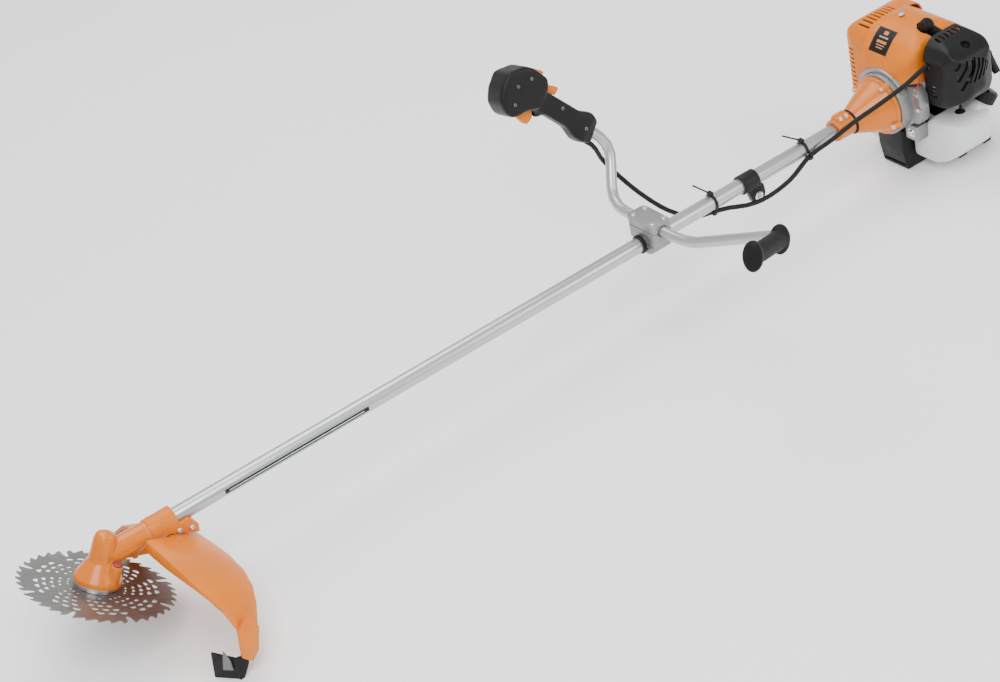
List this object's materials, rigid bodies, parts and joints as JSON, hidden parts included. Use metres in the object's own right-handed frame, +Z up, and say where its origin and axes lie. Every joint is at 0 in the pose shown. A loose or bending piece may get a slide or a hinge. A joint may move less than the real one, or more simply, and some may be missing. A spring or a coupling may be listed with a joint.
{
  "type": "brush cutter",
  "caption": "Petrol brush cutter: toothed saw blade and bevel gear head with guard on a long tube, bent handlebar with throttle grip, and a rear engine on its stand.",
  "frame": {"origin": "on the ground, at the middle of the flat foot under the engine stand", "axes": "+X from the blade to the engine along the shaft tube, +Y to the operator's right-hand side, +Z up"},
  "size_m": [2.0177, 0.6605, 0.4805],
  "materials": {
    "orange_plastic": "moulded, slightly glossy",
    "orange_paint": "smooth glossy paint on cast metal",
    "black_plastic": "fine moulded texture",
    "rubber": "matte",
    "cast_grey": "as cast",
    "bright_steel": "machined, zinc plated",
    "dark_steel": "hardened, oiled",
    "saw_steel": "rolled sheet, punched",
    "satin_tube": "satin drawn tube",
    "tank_plastic": "translucent white moulding",
    "blue_plastic": "moulded",
    "red_plug": "dark red",
    "filter_foam": "open foam",
    "rose_plastic": "moulded"
  },
  "bodies": {
    "machine": {"arbor_bearing": "bright_steel", "gear_case": "orange_paint", "grease_plug": "red_plug", "guard": "orange_plastic", "guard_bracket": "orange_plastic", "guard_skirt": "rubber", "line_knife": "dark_steel", "shaft_tube": "satin_tube", "shaft_bush": "black_plastic", "handle_clamp_lower": "cast_grey", "handle_clamp_middle": "cast_grey", "handle_clamp_top": "cast_grey", "handlebar": "satin_tube", "left_grip": "rubber", "throttle_grip_left": "black_plastic", "throttle_grip_right": "black_plastic", "throttle_cable": "rubber", "cable_tie_1": "black_plastic", "cable_tie_2": "black_plastic", "harness_hanger": "black_plastic", "clutch_housing": "orange_paint", "crankcase": "cast_grey", "cylinder": "cast_grey", "spark_plug": "bright_steel", "plug_boot": "rubber", "engine_cover": "orange_plastic", "muffler": "dark_steel", "muffler_cover": "orange_plastic", "intake_pipe": "black_plastic", "carburettor": "cast_grey", "air_filter_element": "filter_foam", "starter_cover": "black_plastic", "fuel_tank": "tank_plastic", "battery_box": "black_plastic", "engine_stand": "black_plastic"},
    "arbor": {"blade": "saw_steel", "upper_flange": "bright_steel", "lower_flange": "bright_steel", "blade_nut": "bright_steel", "output_shaft": "dark_steel", "ring_gear": "dark_steel"},
    "drive": {"drive_shaft": "dark_steel", "pinion_gear": "dark_steel", "clutch_drum": "dark_steel"},
    "crank": {"crankshaft": "dark_steel", "flywheel": "cast_grey", "clutch_shoes": "dark_steel"},
    "piston": {"piston": "cast_grey", "connecting_rod": "dark_steel"},
    "trigger": {"throttle_trigger": "orange_plastic"},
    "lockout": {"lockout_lever": "orange_plastic"},
    "stop": {"stop_switch": "orange_plastic"},
    "carb_throttle": {"carb_throttle_lever": "bright_steel"},
    "choke": {"choke_lever": "blue_plastic"},
    "primer": {"primer_bulb": "rubber"},
    "pulley": {"starter_pulley": "black_plastic"},
    "pull_grip": {"starter_grip": "black_plastic"},
    "cap": {"tank_cap": "black_plastic"},
    "start": {"start_button": "rose_plastic"},
    "filter_lid": {"air_filter_cover": "black_plastic"}
  },
  "joints": [
    {"name": "blade_spin", "type": "hinge", "parent": "machine", "child": "arbor", "pos_m": [-1.759, 0, 0.111], "axis": [0.4726, 0, 0.8813], "continuous": true},
    {"name": "drive_spin", "type": "hinge", "parent": "machine", "child": "drive", "pos_m": [-1, 0, 0.153], "axis": [1, 0, 0], "continuous": true},
    {"name": "crank_spin", "type": "hinge", "parent": "machine", "child": "crank", "pos_m": [0.02, 0, 0.153], "axis": [1, 0, 0], "continuous": true},
    {"name": "piston_stroke", "type": "slide", "parent": "machine", "child": "piston", "axis": [0, 0, 1], "range_m": [0, 0.034]},
    {"name": "throttle_trigger_pull", "type": "hinge", "parent": "machine", "child": "trigger", "pos_m": [-0.70222, 0.18347, 0.40119], "axis": [0, -0.9758, 0.2185], "range_deg": [0, 14], "stiffness_Nm_per_rad": 0.6, "springref_deg": -20.05},
    {"name": "lockout_press", "type": "hinge", "parent": "machine", "child": "lockout", "pos_m": [-0.65916, 0.18573, 0.41127], "axis": [0, 0.9758, -0.2185], "range_deg": [0, 8], "stiffness_Nm_per_rad": 0.6, "springref_deg": -20.05},
    {"name": "stop_switch_slide", "type": "slide", "parent": "machine", "child": "stop", "axis": [-0.628, 0.17, 0.7594], "range_m": [0, 0.005], "stiffness_N_per_m": 300, "springref_m": -0.004},
    {"name": "carb_throttle_turn", "type": "hinge", "parent": "machine", "child": "carb_throttle", "pos_m": [0.026, -0.086, 0.235], "axis": [0, 0, 1], "range_deg": [0, 56]},
    {"name": "choke_turn", "type": "hinge", "parent": "machine", "child": "choke", "pos_m": [0.048, -0.086, 0.213], "axis": [1, 0, 0], "range_deg": [0, 38]},
    {"name": "primer_press", "type": "slide", "parent": "machine", "child": "primer", "axis": [0, 0, 1], "range_m": [0, 0.005], "stiffness_N_per_m": 400, "springref_m": -0.003},
    {"name": "starter_pulley_turn", "type": "hinge", "parent": "machine", "child": "pulley", "pos_m": [0.11, 0, 0.153], "axis": [1, 0, 0], "range_deg": [0, 1250]},
    {"name": "starter_pull", "type": "slide", "parent": "machine", "child": "pull_grip", "axis": [0, -0.62, 0.7846], "range_m": [0, 0.6], "stiffness_N_per_m": 20, "springref_m": -0.4},
    {"name": "tank_cap_turn", "type": "hinge", "parent": "machine", "child": "cap", "pos_m": [0.09105, -0.11162, 0.13327], "axis": [0.5525, -0.1808, 0.8137], "continuous": true},
    {"name": "start_button_press", "type": "slide", "parent": "machine", "child": "start", "axis": [-1, 0, 0], "range_m": [0, 0.0022], "stiffness_N_per_m": 400, "springref_m": -0.003},
    {"name": "filter_cover_pull", "type": "slide", "parent": "machine", "child": "filter_lid", "axis": [0, -1, 0], "range_m": [0, 0.08]}
  ],
  "couplings": [
    {"joint": "drive_spin", "follows": "blade_spin", "ratio": -1.3571},
    {"joint": "carb_throttle_turn", "follows": "throttle_trigger_pull", "ratio": 4},
    {"joint": "starter_pulley_turn", "follows": "starter_pull", "rad_per_m": 36}
  ]
}
